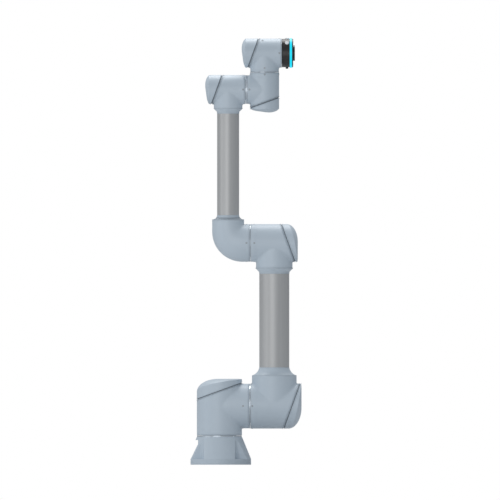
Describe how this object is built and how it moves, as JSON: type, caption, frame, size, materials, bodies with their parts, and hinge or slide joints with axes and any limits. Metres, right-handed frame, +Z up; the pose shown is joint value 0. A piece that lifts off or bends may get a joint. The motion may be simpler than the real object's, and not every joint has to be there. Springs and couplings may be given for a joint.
{
  "type": "collaborative robot arm",
  "caption": "Slender articulated arm of rounded castings and tubes on a conical base, with tilted joint caps, a lit ring and a bolt flange at the tool end.",
  "frame": {"origin": "where the base axis meets the mounting surface, at the centre of the base's bolt circle", "axes": "+Z up along the base axis, +X from the base axis towards the upper arm, front view along +Y"},
  "size_m": [0.4507, 0.257, 1.7322],
  "materials": {
    "housing_paint": "satin",
    "black_rubber": "matte",
    "tool_steel": "satin",
    "flange_steel": "satin",
    "stator_winding": "satin",
    "circuit_board": "satin",
    "anodised_tube": "satin",
    "panel_metal": "satin",
    "collar_black": "satin",
    "light_ring": "gloss",
    "flange_aluminium": "satin",
    "connector_black": "satin",
    "button_white": "gloss"
  },
  "bodies": {
    "base": {"base_casting": "housing_paint", "base_connector_panel": "panel_metal", "base_joint_output_flange": "flange_steel"},
    "shoulder": {"shoulder_housing": "housing_paint", "base_joint_cap": "housing_paint", "base_joint_cap_gasket": "black_rubber", "base_joint_circular_spline": "tool_steel", "base_joint_stator": "stator_winding", "base_joint_drive_board": "circuit_board", "shoulder_joint_output_flange": "flange_steel"},
    "upper_arm": {"upper_arm_housing": "housing_paint", "shoulder_joint_cap": "housing_paint", "shoulder_joint_cap_gasket": "black_rubber", "shoulder_joint_circular_spline": "tool_steel", "shoulder_joint_stator": "stator_winding", "shoulder_joint_drive_board": "circuit_board", "upper_arm_tube": "anodised_tube", "elbow_housing": "housing_paint", "elbow_joint_cap": "housing_paint", "elbow_joint_cap_gasket": "black_rubber", "elbow_joint_circular_spline": "tool_steel", "elbow_joint_stator": "stator_winding", "elbow_joint_drive_board": "circuit_board"},
    "forearm": {"forearm_elbow": "housing_paint", "elbow_joint_output_flange": "flange_steel", "forearm_tube": "anodised_tube", "wrist_1_housing": "housing_paint", "wrist_1_cap": "housing_paint", "wrist_1_cap_gasket": "black_rubber", "wrist_1_circular_spline": "tool_steel", "wrist_1_stator": "stator_winding", "wrist_1_drive_board": "circuit_board"},
    "wrist_2": {"wrist_2_housing": "housing_paint", "wrist_1_output_flange": "flange_steel", "wrist_2_cap": "housing_paint", "wrist_2_cap_gasket": "black_rubber", "wrist_2_circular_spline": "tool_steel", "wrist_2_stator": "stator_winding", "wrist_2_drive_board": "circuit_board"},
    "wrist_3": {"wrist_3_housing": "housing_paint", "wrist_2_output_flange": "flange_steel", "wrist_3_cap": "housing_paint", "wrist_3_cap_gasket": "black_rubber", "wrist_3_circular_spline": "tool_steel", "wrist_3_stator": "stator_winding", "wrist_3_drive_board": "circuit_board"},
    "tool_end": {"wrist_3_output_flange": "flange_steel", "tool_collar": "collar_black", "tool_light_ring": "light_ring", "tool_flange": "flange_aluminium", "tool_connector": "connector_black"},
    "freedrive_button": {"freedrive_button": "button_white"},
    "teach_button": {"teach_button": "button_white"},
    "base_joint_rotor": {"base_joint_rotor": "tool_steel"},
    "shoulder_joint_rotor": {"shoulder_joint_rotor": "tool_steel"},
    "elbow_joint_rotor": {"elbow_joint_rotor": "tool_steel"},
    "wrist_1_rotor": {"wrist_1_rotor": "tool_steel"},
    "wrist_2_rotor": {"wrist_2_rotor": "tool_steel"},
    "wrist_3_rotor": {"wrist_3_rotor": "tool_steel"}
  },
  "joints": [
    {"name": "base_turn", "type": "hinge", "parent": "base", "child": "shoulder", "pos_m": [0, 0, 0.2381], "axis": [0, 0, 1], "range_deg": [-360, 360]},
    {"name": "shoulder_turn", "type": "hinge", "parent": "shoulder", "child": "upper_arm", "pos_m": [0, 0, 0.2381], "axis": [1, 0, 0], "range_deg": [-180, 180]},
    {"name": "elbow_turn", "type": "hinge", "parent": "upper_arm", "child": "forearm", "pos_m": [0, 0, 0.9003], "axis": [1, 0, 0], "range_deg": [-155, 155]},
    {"name": "wrist_1_turn", "type": "hinge", "parent": "forearm", "child": "wrist_2", "pos_m": [0, 0, 1.5231], "axis": [1, 0, 0], "range_deg": [-360, 360]},
    {"name": "wrist_2_turn", "type": "hinge", "parent": "wrist_2", "child": "wrist_3", "pos_m": [0.1835, 0, 1.5231], "axis": [0, 0, 1], "range_deg": [-360, 360]},
    {"name": "wrist_3_turn", "type": "hinge", "parent": "wrist_3", "child": "tool_end", "pos_m": [0.1835, 0, 1.6712], "axis": [1, 0, 0], "range_deg": [-360, 360]},
    {"name": "base_joint_rotor_spin", "type": "hinge", "parent": "shoulder", "child": "base_joint_rotor", "pos_m": [0, 0, 0.2381], "axis": [0, 0, 1], "continuous": true},
    {"name": "shoulder_joint_rotor_spin", "type": "hinge", "parent": "upper_arm", "child": "shoulder_joint_rotor", "pos_m": [0, 0, 0.2381], "axis": [1, 0, 0], "continuous": true},
    {"name": "elbow_joint_rotor_spin", "type": "hinge", "parent": "upper_arm", "child": "elbow_joint_rotor", "pos_m": [0, 0, 0.9003], "axis": [1, 0, 0], "continuous": true},
    {"name": "wrist_1_rotor_spin", "type": "hinge", "parent": "forearm", "child": "wrist_1_rotor", "pos_m": [0, 0, 1.5231], "axis": [1, 0, 0], "continuous": true},
    {"name": "wrist_2_rotor_spin", "type": "hinge", "parent": "wrist_2", "child": "wrist_2_rotor", "pos_m": [0.1835, 0, 1.5231], "axis": [0, 0, 1], "continuous": true},
    {"name": "wrist_3_rotor_spin", "type": "hinge", "parent": "wrist_3", "child": "wrist_3_rotor", "pos_m": [0.1835, 0, 1.6712], "axis": [1, 0, 0], "continuous": true},
    {"name": "freedrive_button_press", "type": "slide", "parent": "tool_end", "child": "freedrive_button", "axis": [0, 0, -1], "range_m": [0, 0.0015], "stiffness_N_per_m": 600, "springref_m": -0.003},
    {"name": "teach_button_press", "type": "slide", "parent": "tool_end", "child": "teach_button", "axis": [0, 0.7071, -0.7071], "range_m": [0, 0.0015], "stiffness_N_per_m": 600, "springref_m": -0.003}
  ],
  "couplings": [
    {"joint": "base_joint_rotor_spin", "follows": "base_turn", "ratio": 100},
    {"joint": "shoulder_joint_rotor_spin", "follows": "shoulder_turn", "ratio": 100},
    {"joint": "elbow_joint_rotor_spin", "follows": "elbow_turn", "ratio": -100},
    {"joint": "wrist_1_rotor_spin", "follows": "wrist_1_turn", "ratio": -100},
    {"joint": "wrist_2_rotor_spin", "follows": "wrist_2_turn", "ratio": -100},
    {"joint": "wrist_3_rotor_spin", "follows": "wrist_3_turn", "ratio": -100}
  ]
}
